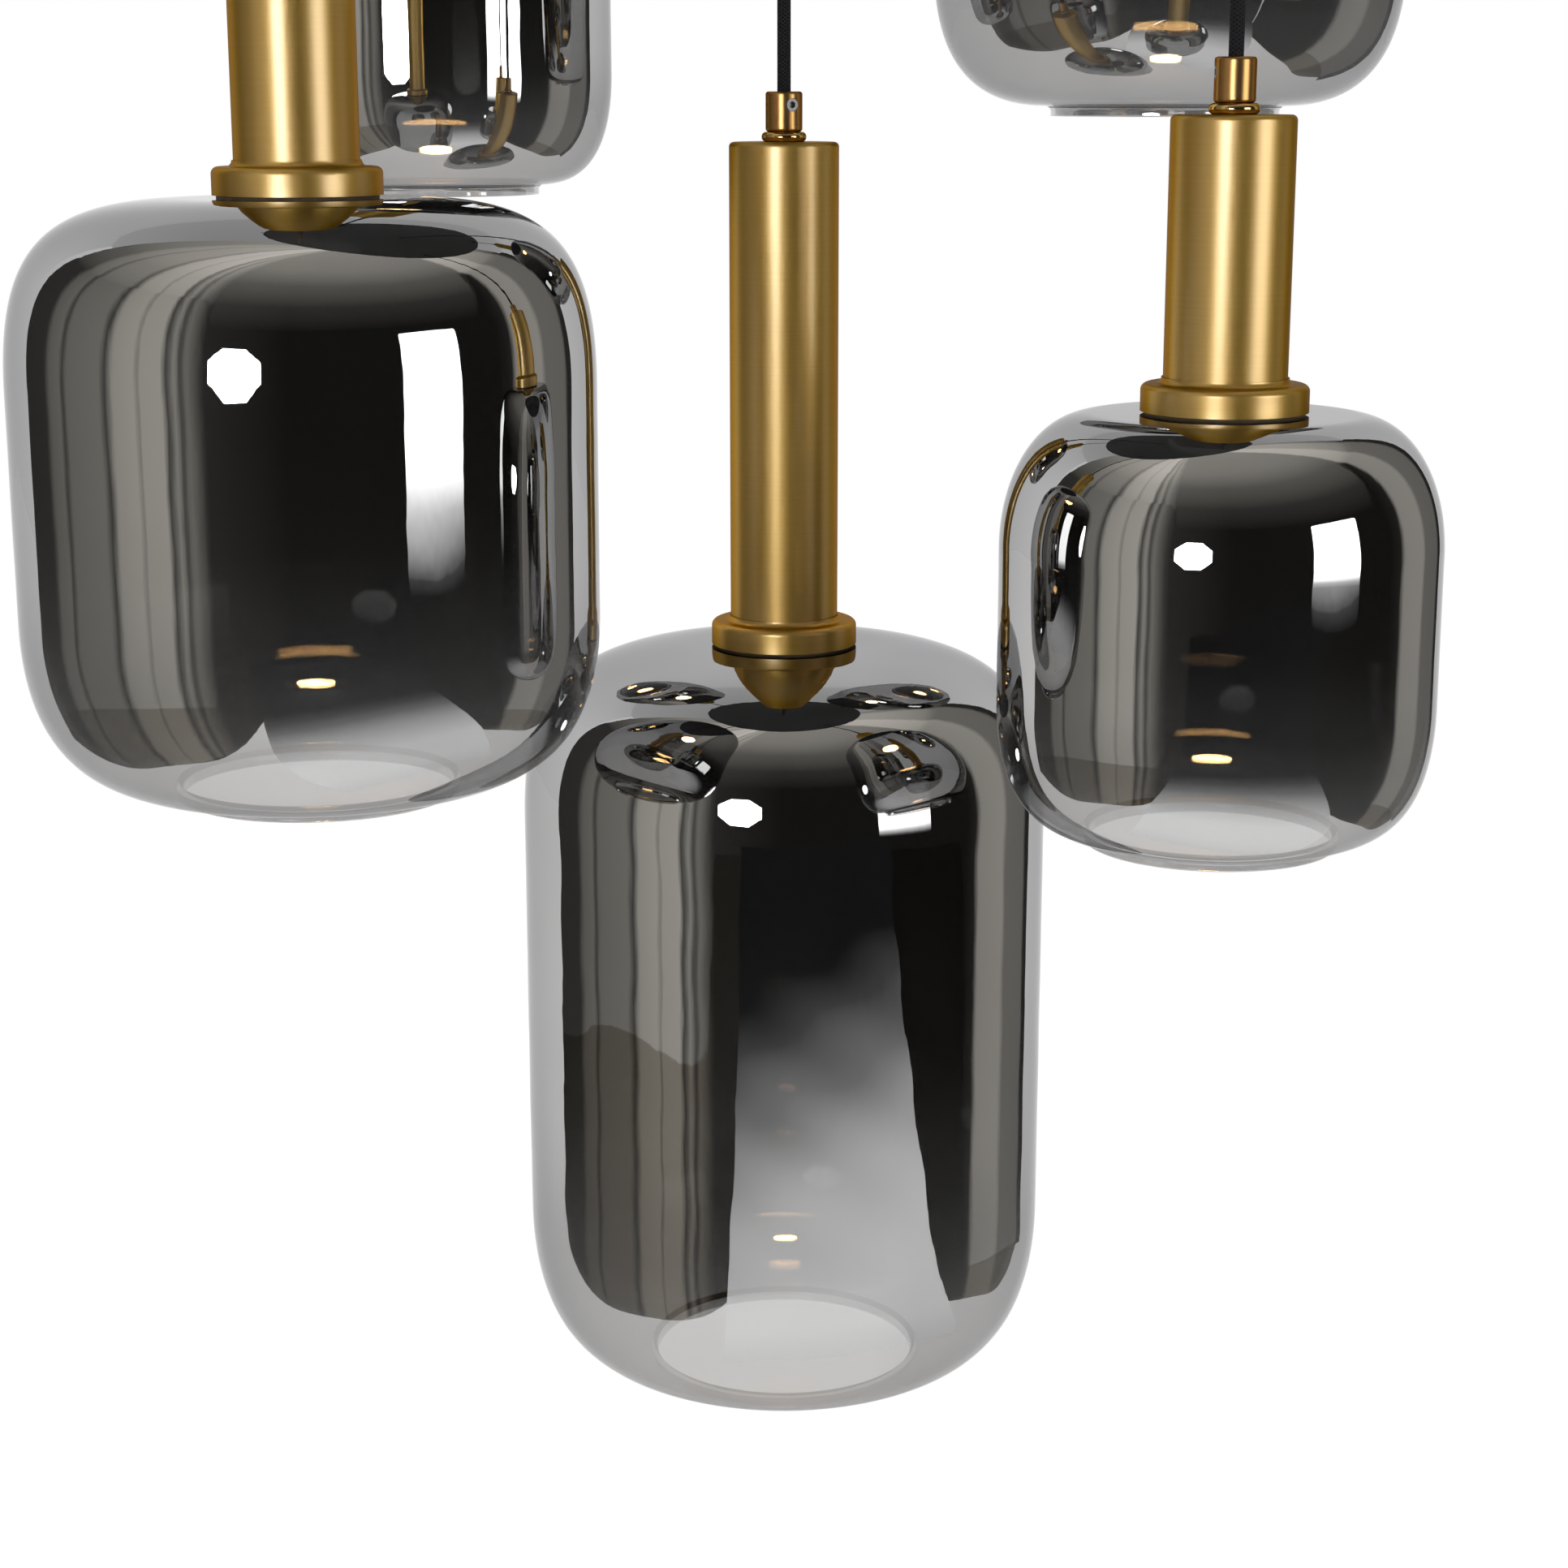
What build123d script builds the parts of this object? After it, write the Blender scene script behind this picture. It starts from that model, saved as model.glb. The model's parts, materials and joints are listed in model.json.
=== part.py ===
from build123d import *
import os
from collections import namedtuple
from math import cos, radians, sin, sqrt

# Cluster pendant: five smoked glass shades on brass stems, each hung by its cord from one ceiling canopy.
# The origin is at the ceiling on the canopy's axis, +Z is up and sizes are in millimetres.

# Fits
fit_clearance = 0.1
running_clearance = 0.3

# Canopy: a spun steel cover, open towards the ceiling
canopy_diameter = 520.0
canopy_height = 26.0
canopy_wall = 1.5
canopy_edge_radius = 6.0

# Cord outlets: one at the centre and two opposite pairs, each set in from the canopy's edge at its own angle
outlet_a_inset = 27.6
outlet_a_angle = 41.5
outlet_b_inset = 36.5
outlet_b_angle = 44.3

# Outlet grips with their nipples and lock nuts
outlet_grip_diameter = 15.0
outlet_grip_length = 19.0
outlet_grip_edge = 1.2
nipple_diameter = 10.0
lock_nut_across_flats = 14.0
lock_nut_height = 3.0
nipple_proud = 1.0

# Ceiling bracket: a steel strip with its ends bent down
bracket_width = 40.0
bracket_thickness = 2.0
bracket_tab_height = 19.0
bracket_bend_radius = 1.5
ceiling_hole_diameter = 5.5
ceiling_hole_spacing = 200.0

# Side screws that hold the cover on the bracket's tabs
side_screw_diameter = 4.0
side_screw_depth = 11.0
side_screw_past_tab = 4.0
side_screw_head_diameter = 9.0
side_screw_head_height = 5.0
side_screw_head_edge = 1.0

# Terminal block and the leads that run to it
terminal_length = 42.0
terminal_width = 26.0
terminal_height = 14.0
terminal_from_axis = 25.0
terminal_screw_diameter = 3.2
terminal_screw_recess = 4.0
terminal_pitch_x = 12.0
terminal_pitch_y = 12.0
lead_diameter = 3.4
lead_bend_radius = 9.0
lead_in_nipple = 3.0
lead_spacing = 9.0
lead_in_terminal = 6.0

# Textile cord
cord_diameter = 5.5
cord_in_grip = 8.0

# Brass cord grip with its grub screw, and the bead ring below it
grip_diameter = 15.0
grip_length = 16.0
grip_edge_radius = 1.2
screw_diameter = 5.0
screw_below_top = 5.3
screw_recess = 0.3
screw_socket_across_flats = 2.5
screw_socket_depth = 2.0
bead_diameter = 18.3
bead_height = 4.0
bead_edge_radius = 1.9

# Brass tube, closed at the top
tube_diameter = 45.0
tube_wall = 1.2
tube_top_thickness = 4.0
tube_edge_radius = 2.0
short_tube_length = 95.0
long_tube_length = 197.0

# Collar: its sleeve goes up into the tube and its spigot down through the shade
collar_overhang = 8.0
collar_height = 10.0
collar_edge_radius = 2.5
cove_radius = 2.2
cove_land = 0.5
sleeve_length = 14.0
spigot_wall = 1.75
spigot_past_ring = 1.0
gasket_thickness = 1.0
gasket_inset = 1.5
shade_ring_width = 7.0
shade_ring_height = 5.0
shade_ring_edge = 1.0
shade_ring_notch = 3.0
shade_ring_notches = 6

# Blown glass shades: a flat crown, a shoulder and a base that each curve over their own height, and a short lip.
# A fullness of 0.55 is close to a round corner, and more is squarer.
glass_wall = 2.2
glass_hole_clearance = 0.5
lip_height = 4.5
lip_root_radius = 2.5
lip_edge_radius = 0.8
wide_diameter = 212.0
wide_height = 218.0
wide_crown_diameter = 80.0
wide_shoulder_height = 67.0
wide_shoulder_fullness = 0.75
wide_base_height = 63.0
wide_base_fullness = 0.66
wide_lip_diameter = 104.0
tall_diameter = 222.0
tall_height = 321.5
tall_crown_diameter = 72.0
tall_shoulder_height = 70.0
tall_shoulder_fullness = 0.72
tall_base_height = 70.0
tall_base_fullness = 0.66
tall_lip_diameter = 117.0
small_diameter = 162.0
small_height = 160.0
small_crown_diameter = 96.0
small_shoulder_height = 50.0
small_shoulder_fullness = 0.57
small_base_height = 50.0
small_base_fullness = 0.65
small_lip_diameter = 94.0

# Twist-lock reflector lamp and its ceramic holder
lamp_diameter = 35.0
lamp_bore_clearance = 0.75
lamp_below_collar = 12.0
lamp_rim_height = 4.0
lamp_rim_width = 2.0
lamp_lens_recess = 1.0
lamp_cone_height = 22.0
lamp_base_diameter = 24.0
lamp_length = 46.0
pin_spacing = 10.0
pin_diameter = 2.6
pin_length = 6.0
pin_head_diameter = 4.6
pin_head_height = 2.0
holder_wall = 3.0
holder_top = 3.0
holder_base_clearance = 1.2
holder_flange_thickness = 2.0

# Free cord length of each drop, from its outlet to its brass grip
left_front_cord = 326.0
left_back_cord = 175.0
centre_cord = 415.0
right_back_cord = 82.0
right_front_cord = 403.0

# Radii and heights that several pieces share
canopy_radius = canopy_diameter / 2
canopy_inner_radius = canopy_radius - canopy_wall
outlet_a_x = (canopy_radius - outlet_a_inset) * cos(radians(outlet_a_angle))
outlet_a_y = (canopy_radius - outlet_a_inset) * sin(radians(outlet_a_angle))
outlet_b_x = (canopy_radius - outlet_b_inset) * cos(radians(outlet_b_angle))
outlet_b_y = (canopy_radius - outlet_b_inset) * sin(radians(outlet_b_angle))
outlet_mouth_z = -(canopy_height + outlet_grip_length)
cord_radius = cord_diameter / 2
cord_bore = cord_radius + running_clearance
lead_radius = lead_diameter / 2
lead_bore = lead_radius + running_clearance
nipple_radius = nipple_diameter / 2
nipple_hole = nipple_radius + fit_clearance
outlet_nipple_length = canopy_wall + lock_nut_height + nipple_proud
bracket_reach = sqrt(canopy_inner_radius**2 - (bracket_width / 2) ** 2) - running_clearance
lead_run_z = -(bracket_thickness + terminal_height / 2)
tube_radius = tube_diameter / 2
tube_bore = tube_radius - tube_wall
collar_radius = tube_radius + collar_overhang
lamp_radius = lamp_diameter / 2
lamp_bore = lamp_radius + lamp_bore_clearance
spigot_radius = lamp_bore + spigot_wall
spigot_length = gasket_thickness + glass_wall + shade_ring_height + spigot_past_ring
shade_ring_bore = spigot_radius + fit_clearance
shade_ring_radius = shade_ring_bore + shade_ring_width

Glass = namedtuple(
    "Glass",
    "diameter height crown_diameter shoulder_height shoulder_fullness base_height base_fullness lip_diameter",
)
wide = Glass(
    wide_diameter,
    wide_height,
    wide_crown_diameter,
    wide_shoulder_height,
    wide_shoulder_fullness,
    wide_base_height,
    wide_base_fullness,
    wide_lip_diameter,
)
tall = Glass(
    tall_diameter,
    tall_height,
    tall_crown_diameter,
    tall_shoulder_height,
    tall_shoulder_fullness,
    tall_base_height,
    tall_base_fullness,
    tall_lip_diameter,
)
small = Glass(
    small_diameter,
    small_height,
    small_crown_diameter,
    small_shoulder_height,
    small_shoulder_fullness,
    small_base_height,
    small_base_fullness,
    small_lip_diameter,
)

# A drop's grub screw faces screw_angle, in degrees round Z from +X
Drop = namedtuple("Drop", "name x y cord_length tube_length glass screw_angle")
drops = [
    Drop("left_front", -outlet_a_x, -outlet_a_y, left_front_cord, short_tube_length, wide, 250),
    Drop("left_back", -outlet_b_x, outlet_b_y, left_back_cord, short_tube_length, small, 120),
    Drop("centre", 0, 0, centre_cord, long_tube_length, tall, -62),
    Drop("right_back", outlet_a_x, outlet_a_y, right_back_cord, short_tube_length, wide, 30),
    Drop("right_front", outlet_b_x, -outlet_b_y, right_front_cord, short_tube_length, small, 180),
]


def grip_top_z(drop):
    return outlet_mouth_z - drop.cord_length


def tube_top_z(drop):
    return grip_top_z(drop) - grip_length - bead_height


def collar_top_z(drop):
    return tube_top_z(drop) - drop.tube_length


def collar_bottom_z(drop):
    return collar_top_z(drop) - collar_height


def glass_top_z(drop):
    return collar_bottom_z(drop) - gasket_thickness


def upright(drop, z):
    """Vertical sketch plane on a drop's axis: sketch x is the radius and sketch y the height above z."""
    return Plane(origin=(drop.x, drop.y, z), x_dir=(1, 0, 0), z_dir=(0, -1, 0))


def drop_axis(drop):
    return Axis((drop.x, drop.y, 0), (0, 0, 1))


os.makedirs("parts", exist_ok=True)


def keep(piece, label):
    piece.part.label = label
    export_step(piece.part, f"parts/{label}.step")


def make_cord(drop):
    """Straight cord, rounded at its top where it swings in the outlet's socket."""
    end = drop.cord_length + cord_in_grip
    with BuildPart() as cord:
        with BuildSketch(upright(drop, outlet_mouth_z)):
            with BuildLine():
                CenterArc((0, 0), cord_radius, 0, 90)
                Polyline((0, cord_radius), (0, -end), (cord_radius, -end), (cord_radius, 0))
            make_face()
        revolve(axis=drop_axis(drop))
    keep(cord, f"cord_{drop.name}")


def screw_plane(drop, radius):
    """Plane square to the grub screw, at a radius from the drop's axis."""
    out = Vector(cos(radians(drop.screw_angle)), sin(radians(drop.screw_angle)), 0)
    centre = Vector(drop.x, drop.y, grip_top_z(drop) - screw_below_top)
    return Plane(origin=centre + out * radius, x_dir=(0, 0, 1), z_dir=out)


def make_cord_grip(drop):
    """Turned grip whose nipple goes down through the bead into the tube's top."""
    radius = grip_diameter / 2
    nipple_end = grip_length + bead_height + tube_top_thickness
    with BuildPart() as grip:
        with BuildSketch(upright(drop, grip_top_z(drop))) as profile:
            with BuildLine():
                Polyline(
                    (cord_bore, 0),
                    (radius, 0),
                    (radius, -grip_length),
                    (nipple_radius, -grip_length),
                    (nipple_radius, -nipple_end),
                    (cord_bore, -nipple_end),
                    close=True,
                )
            make_face()
            fillet(profile.vertices().group_by(Axis.X)[-1], grip_edge_radius)
        revolve(axis=drop_axis(drop))
        with BuildSketch(screw_plane(drop, 0)):
            Circle(screw_diameter / 2 + fit_clearance)
        extrude(amount=radius, mode=Mode.SUBTRACT)
    keep(grip, f"cord_grip_{drop.name}")


def make_grip_screw(drop):
    """Socket grub screw in the grip's side, its tip level with the cord's bore."""
    length = grip_diameter / 2 - screw_recess - cord_bore
    with BuildPart() as screw:
        with BuildSketch(screw_plane(drop, cord_bore)):
            Circle(screw_diameter / 2)
        extrude(amount=length)
        with BuildSketch(screw_plane(drop, cord_bore + length)):
            RegularPolygon(screw_socket_across_flats / 2, 6, major_radius=False)
        extrude(amount=-screw_socket_depth, mode=Mode.SUBTRACT)
    keep(screw, f"grip_screw_{drop.name}")


def make_grip_bead(drop):
    with BuildPart() as bead:
        with BuildSketch(upright(drop, grip_top_z(drop) - grip_length)) as profile:
            with BuildLine():
                Polyline(
                    (nipple_hole, 0),
                    (bead_diameter / 2, 0),
                    (bead_diameter / 2, -bead_height),
                    (nipple_hole, -bead_height),
                    close=True,
                )
            make_face()
            fillet(profile.vertices().group_by(Axis.X)[-1], min(bead_edge_radius, 0.48 * bead_height))
        revolve(axis=drop_axis(drop))
    keep(bead, f"grip_bead_{drop.name}")


def make_tube(drop):
    with BuildPart() as tube:
        with BuildSketch(upright(drop, tube_top_z(drop))) as profile:
            with BuildLine():
                Polyline(
                    (nipple_hole, 0),
                    (tube_radius, 0),
                    (tube_radius, -drop.tube_length),
                    (tube_bore, -drop.tube_length),
                    (tube_bore, -tube_top_thickness),
                    (nipple_hole, -tube_top_thickness),
                    close=True,
                )
            make_face()
            fillet(profile.vertices().group_by(Axis.X)[-1].sort_by(Axis.Y)[-1], tube_edge_radius)
        revolve(axis=drop_axis(drop))
    keep(tube, f"tube_{drop.name}")


def make_collar(drop):
    """Collar with a groove for the tube's end, a cove round it, a sleeve above and a spigot below."""
    sleeve_radius = tube_bore - fit_clearance
    groove = tube_radius + fit_clearance
    cove_foot = groove + cove_land + cove_radius
    with BuildPart() as collar:
        with BuildSketch(upright(drop, collar_top_z(drop))) as profile:
            with BuildLine():
                Polyline(
                    (lamp_bore, sleeve_length),
                    (sleeve_radius, sleeve_length),
                    (sleeve_radius, 0),
                    (groove, 0),
                    (groove, cove_radius),
                    (groove + cove_land, cove_radius),
                )
                CenterArc((cove_foot, cove_radius), cove_radius, 180, 90)
                Polyline(
                    (cove_foot, 0),
                    (collar_radius, 0),
                    (collar_radius, -collar_height),
                    (spigot_radius, -collar_height),
                    (spigot_radius, -collar_height - spigot_length),
                    (lamp_bore, -collar_height - spigot_length),
                    (lamp_bore, sleeve_length),
                )
            make_face()
            fillet(profile.vertices().group_by(Axis.X)[-1].sort_by(Axis.Y)[-1], collar_edge_radius)
        revolve(axis=drop_axis(drop))
    keep(collar, f"collar_{drop.name}")


def make_shade_gasket(drop):
    with BuildPart() as gasket:
        with BuildSketch(Plane(origin=(drop.x, drop.y, collar_bottom_z(drop)))):
            Circle(collar_radius - gasket_inset)
            Circle(spigot_radius + fit_clearance, mode=Mode.SUBTRACT)
        extrude(amount=-gasket_thickness)
    keep(gasket, f"shade_gasket_{drop.name}")


def draw_shade_wall(glass, inset):
    """Line of a shade's wall from its hole to its mouth, inset from the outside, on the shade's own axis."""
    hole = spigot_radius + glass_hole_clearance
    crown = glass.crown_diameter / 2
    radius = glass.diameter / 2 - inset
    shoulder = glass.shoulder_height
    neck = lip_height - glass.height
    base = neck + glass.base_height
    root = (glass.lip_diameter / 2 + lip_root_radius, neck - lip_root_radius)
    lip = glass.lip_diameter / 2 - inset
    Line((hole, -inset), (crown, -inset))
    Bezier(
        (crown, -inset),
        (crown + glass.shoulder_fullness * (radius - crown), -inset),
        (radius, -shoulder + glass.shoulder_fullness * (shoulder - inset)),
        (radius, -shoulder),
    )
    Line((radius, -shoulder), (radius, base))
    Bezier(
        (radius, base),
        (radius, base - glass.base_fullness * (glass.base_height - inset)),
        (root[0] + glass.base_fullness * (radius - root[0]), neck + inset),
        (root[0], neck + inset),
    )
    CenterArc(root, lip_root_radius + inset, 90, 90)
    Line((lip, root[1]), (lip, -glass.height))


def make_glass_shade(drop):
    """Blown shade of one even wall, closed at the hole's edge and rounded at the mouth's."""
    glass = drop.glass
    hole = spigot_radius + glass_hole_clearance
    lip = glass.lip_diameter / 2
    with BuildPart() as shade:
        with BuildSketch(upright(drop, glass_top_z(drop))) as profile:
            with BuildLine():
                draw_shade_wall(glass, 0)
                draw_shade_wall(glass, glass_wall)
                Line((hole, 0), (hole, -glass_wall))
                Line((lip, -glass.height), (lip - glass_wall, -glass.height))
            make_face()
            fillet(profile.vertices().group_by(Axis.Y)[0], lip_edge_radius)
        revolve(axis=drop_axis(drop))
    keep(shade, f"glass_shade_{drop.name}")


def make_shade_ring(drop):
    """Threaded ring that clamps the glass from below, with notches for the fingers."""
    top = glass_top_z(drop) - glass_wall
    with BuildPart() as ring:
        with BuildSketch(Plane(origin=(drop.x, drop.y, top))):
            Circle(shade_ring_radius)
            Circle(shade_ring_bore, mode=Mode.SUBTRACT)
            with PolarLocations(shade_ring_radius, shade_ring_notches):
                Circle(shade_ring_notch / 2, mode=Mode.SUBTRACT)
        extrude(amount=-shade_ring_height)
        chamfer(ring.faces().sort_by(Axis.Z)[0].inner_wires().edges(), shade_ring_edge)
    keep(ring, f"shade_ring_{drop.name}")


def lamp_face_z(drop):
    return collar_bottom_z(drop) - lamp_below_collar


def make_lamp(drop):
    """Reflector lamp: lens set in a rim, tapered body, and a base with two headed pins."""
    base_radius = lamp_base_diameter / 2
    base = Plane(origin=(drop.x, drop.y, lamp_face_z(drop) + lamp_length))
    with BuildPart() as lamp:
        with BuildSketch(upright(drop, lamp_face_z(drop))):
            with BuildLine():
                Polyline(
                    (0, lamp_lens_recess),
                    (lamp_radius - lamp_rim_width, lamp_lens_recess),
                    (lamp_radius - lamp_rim_width, 0),
                    (lamp_radius, 0),
                    (lamp_radius, lamp_rim_height),
                    (base_radius, lamp_rim_height + lamp_cone_height),
                    (base_radius, lamp_length),
                    (0, lamp_length),
                    close=True,
                )
            make_face()
        revolve(axis=drop_axis(drop))
        with BuildSketch(base):
            with GridLocations(pin_spacing, 0, 2, 1):
                Circle(pin_diameter / 2)
        extrude(amount=pin_length)
        with BuildSketch(base.offset(pin_length - pin_head_height)):
            with GridLocations(pin_spacing, 0, 2, 1):
                Circle(pin_head_diameter / 2)
        extrude(amount=pin_head_height)
    keep(lamp, f"lamp_{drop.name}")


def make_lamp_holder(drop):
    """Ceramic cup on a flange that rests on the collar's sleeve, with a ring groove for the lamp's pins."""
    cup_bore = lamp_base_diameter / 2 + holder_base_clearance
    cup_radius = cup_bore + holder_wall
    seat = lamp_length + running_clearance
    groove_top = seat + pin_length + running_clearance
    flange_z = collar_top_z(drop) + sleeve_length - lamp_face_z(drop)
    groove_inner = (pin_spacing - pin_head_diameter) / 2 - running_clearance
    groove_outer = (pin_spacing + pin_head_diameter) / 2 + running_clearance
    flange_radius = tube_bore - running_clearance
    with BuildPart() as holder:
        with BuildSketch(upright(drop, lamp_face_z(drop))):
            with BuildLine():
                Polyline(
                    (cup_bore, flange_z),
                    (flange_radius, flange_z),
                    (flange_radius, flange_z + holder_flange_thickness),
                    (cup_radius, flange_z + holder_flange_thickness),
                    (cup_radius, groove_top + holder_top),
                    (0, groove_top + holder_top),
                    (0, seat),
                    (groove_inner, seat),
                    (groove_inner, groove_top),
                    (groove_outer, groove_top),
                    (groove_outer, seat),
                    (cup_bore, seat),
                    close=True,
                )
            make_face()
        revolve(axis=drop_axis(drop))
    keep(holder, f"lamp_holder_{drop.name}")


for drop in drops:
    make_cord(drop)
    make_cord_grip(drop)
    make_grip_screw(drop)
    make_grip_bead(drop)
    make_tube(drop)
    make_collar(drop)
    make_shade_gasket(drop)
    make_glass_shade(drop)
    make_shade_ring(drop)
    make_lamp(drop)
    make_lamp_holder(drop)

# Canopy cover with its outlet holes and side screw holes
outlets = [(drop.x, drop.y) for drop in drops]
with BuildPart() as canopy_cover:
    with BuildSketch(Plane.XZ) as cover_profile:
        with BuildLine():
            FilletPolyline(
                (0, -canopy_height),
                (canopy_radius, -canopy_height),
                (canopy_radius, 0),
                radius=canopy_edge_radius,
            )
            offset(amount=canopy_wall, side=Side.LEFT)
        make_face()
    revolve(axis=Axis.Z)
    with BuildSketch(Plane.XY.offset(-canopy_height)):
        with Locations(outlets):
            Circle(nipple_hole)
    extrude(amount=canopy_wall, mode=Mode.SUBTRACT)
    with BuildSketch(Plane.YZ):
        with Locations((0, -side_screw_depth)):
            Circle(side_screw_diameter / 2 + fit_clearance)
    extrude(amount=canopy_radius, both=True, mode=Mode.SUBTRACT)
keep(canopy_cover, "canopy_cover")

# Ceiling bracket
with BuildPart() as ceiling_bracket:
    with BuildSketch(Plane.XZ):
        with BuildLine():
            FilletPolyline(
                (-bracket_reach, -bracket_tab_height),
                (-bracket_reach, 0),
                (bracket_reach, 0),
                (bracket_reach, -bracket_tab_height),
                radius=bracket_bend_radius + bracket_thickness,
            )
            offset(amount=bracket_thickness, side=Side.RIGHT)
        make_face()
    extrude(amount=bracket_width / 2, both=True)
    with BuildSketch(Plane.XY):
        with GridLocations(ceiling_hole_spacing, 0, 2, 1):
            Circle(ceiling_hole_diameter / 2)
    extrude(amount=-bracket_thickness, mode=Mode.SUBTRACT)
    with BuildSketch(Plane.YZ):
        with Locations((0, -side_screw_depth)):
            Circle(side_screw_diameter / 2 + fit_clearance)
    extrude(amount=canopy_radius, both=True, mode=Mode.SUBTRACT)
keep(ceiling_bracket, "ceiling_bracket")

# Side screws of the cover, and a lock nut on each outlet's nipple
side_screw_length = canopy_radius - bracket_reach + bracket_thickness + side_screw_past_tab
with BuildPart() as canopy_fasteners:
    for side in (-1, 1):
        seat_plane = Plane(origin=(side * canopy_radius, 0, -side_screw_depth), z_dir=(side, 0, 0))
        with BuildSketch(seat_plane):
            Circle(side_screw_head_diameter / 2)
        head = extrude(amount=side_screw_head_height)
        outer_edge = head.edges().filter_by(GeomType.CIRCLE).sort_by(Axis((0, 0, 0), (side, 0, 0)))[-1]
        chamfer(outer_edge, side_screw_head_edge)
        with BuildSketch(seat_plane):
            Circle(side_screw_diameter / 2)
        extrude(amount=-side_screw_length)
    with BuildSketch(Plane.XY.offset(canopy_wall - canopy_height)):
        with Locations(outlets):
            RegularPolygon(lock_nut_across_flats / 2, 6, major_radius=False)
            Circle(nipple_hole, mode=Mode.SUBTRACT)
    extrude(amount=lock_nut_height)
keep(canopy_fasteners, "canopy_fasteners")

# Outlet grips: a round socket for the cord's top end, and a nipple through the cover
with BuildPart() as canopy_cord_grips:
    for drop in drops:
        socket_top = sqrt(cord_bore**2 - lead_bore**2)
        nipple_top = outlet_grip_length + outlet_nipple_length
        with BuildSketch(upright(drop, outlet_mouth_z)) as grip_profile:
            with BuildLine():
                Polyline(
                    (cord_bore, 0),
                    (outlet_grip_diameter / 2, 0),
                    (outlet_grip_diameter / 2, outlet_grip_length),
                    (nipple_radius, outlet_grip_length),
                    (nipple_radius, nipple_top),
                    (lead_bore, nipple_top),
                    (lead_bore, socket_top),
                )
                RadiusArc((lead_bore, socket_top), (cord_bore, 0), cord_bore)
            make_face()
            chamfer(grip_profile.vertices().group_by(Axis.X)[-1].sort_by(Axis.Y)[0], outlet_grip_edge)
        revolve(axis=drop_axis(drop))
keep(canopy_cord_grips, "canopy_cord_grips")

# Wiring: the terminal block under the bracket, and a lead from each outlet into the nearer end of the block
terminal_middle = terminal_from_axis + terminal_length / 2
terminal_far = terminal_from_axis + terminal_length
lead_start_z = outlet_mouth_z + outlet_grip_length + outlet_nipple_length - lead_in_nipple
left_drops = sorted([drop for drop in drops if drop.x <= 0], key=lambda drop: drop.y)
right_drops = sorted([drop for drop in drops if drop.x > 0], key=lambda drop: drop.y)
with BuildPart() as canopy_wiring:
    with BuildSketch(Plane.XY.offset(-bracket_thickness)):
        with Locations((terminal_middle, 0)):
            Rectangle(terminal_length, terminal_width)
    extrude(amount=-terminal_height)
    with BuildSketch(Plane.XY.offset(-bracket_thickness - terminal_height)):
        with Locations((terminal_middle, 0)):
            with GridLocations(terminal_pitch_x, terminal_pitch_y, 3, 2):
                Circle(terminal_screw_diameter / 2)
    extrude(amount=terminal_screw_recess, mode=Mode.SUBTRACT)
    for end_x, group in ((terminal_from_axis, left_drops), (terminal_far, right_drops)):
        for place, drop in enumerate(group):
            above = Vector(drop.x, drop.y, lead_run_z)
            entry = Vector(end_x, (place - (len(group) - 1) / 2) * lead_spacing, lead_run_z)
            along = (entry - above).normalized()
            with BuildSketch(Plane(origin=entry - along * lead_diameter, z_dir=along)):
                Circle(lead_bore)
            extrude(amount=lead_diameter + lead_in_terminal + running_clearance, mode=Mode.SUBTRACT)
            start = Vector(drop.x, drop.y, lead_start_z)
            with BuildLine() as route:
                FilletPolyline(start, above, entry + along * lead_in_terminal, radius=lead_bend_radius)
            with BuildSketch(Plane(origin=start)) as section:
                Circle(lead_radius)
            sweep(sections=section.sketch, path=route.line)
keep(canopy_wiring, "canopy_wiring")
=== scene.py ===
"""Looks of the cluster pendant light: smoked glass, brushed brass, textile cords and a plain studio."""
import json
import math

import bpy
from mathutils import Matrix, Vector


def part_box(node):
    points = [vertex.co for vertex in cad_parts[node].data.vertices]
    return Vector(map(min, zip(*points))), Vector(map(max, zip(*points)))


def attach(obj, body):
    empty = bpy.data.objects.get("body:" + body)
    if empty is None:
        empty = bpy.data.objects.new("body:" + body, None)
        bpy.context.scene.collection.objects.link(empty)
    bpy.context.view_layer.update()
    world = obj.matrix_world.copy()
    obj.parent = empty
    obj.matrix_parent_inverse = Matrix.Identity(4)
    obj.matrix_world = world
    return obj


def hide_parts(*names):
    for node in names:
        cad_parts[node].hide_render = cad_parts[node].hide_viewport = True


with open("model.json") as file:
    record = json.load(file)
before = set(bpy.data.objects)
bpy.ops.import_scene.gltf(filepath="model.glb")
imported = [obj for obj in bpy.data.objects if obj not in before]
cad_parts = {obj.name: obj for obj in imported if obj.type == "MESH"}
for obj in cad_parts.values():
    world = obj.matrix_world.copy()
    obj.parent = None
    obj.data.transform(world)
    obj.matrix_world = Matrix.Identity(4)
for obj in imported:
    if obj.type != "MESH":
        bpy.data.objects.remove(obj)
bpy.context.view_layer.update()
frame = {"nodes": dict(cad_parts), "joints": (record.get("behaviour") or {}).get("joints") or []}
nodes = frame["nodes"]
scene = bpy.context.scene

DROPS = ["left_front", "left_back", "centre", "right_back", "right_front"]

# Camera: place in metres, pitch in degrees, sensor and lens in millimetres
CAMERA_PLACE = (0.0, -1.232, -0.460)
CAMERA_PITCH_DOWN = 13.2
SENSOR_WIDTH = 36.0
CAMERA_LENS = 67.8

# Cords, in metres: their braid has strands round the cord, a rise in radians per metre and a fuzz
CORD_DIAMETER = 0.0055
CORD_IN_GRIP = 0.008
BRAID_STRANDS = 8.0
BRAID_RISE = 4200.0
FUZZ_SCALE = 1800.0
FUZZ_SHARE = 0.7

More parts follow.
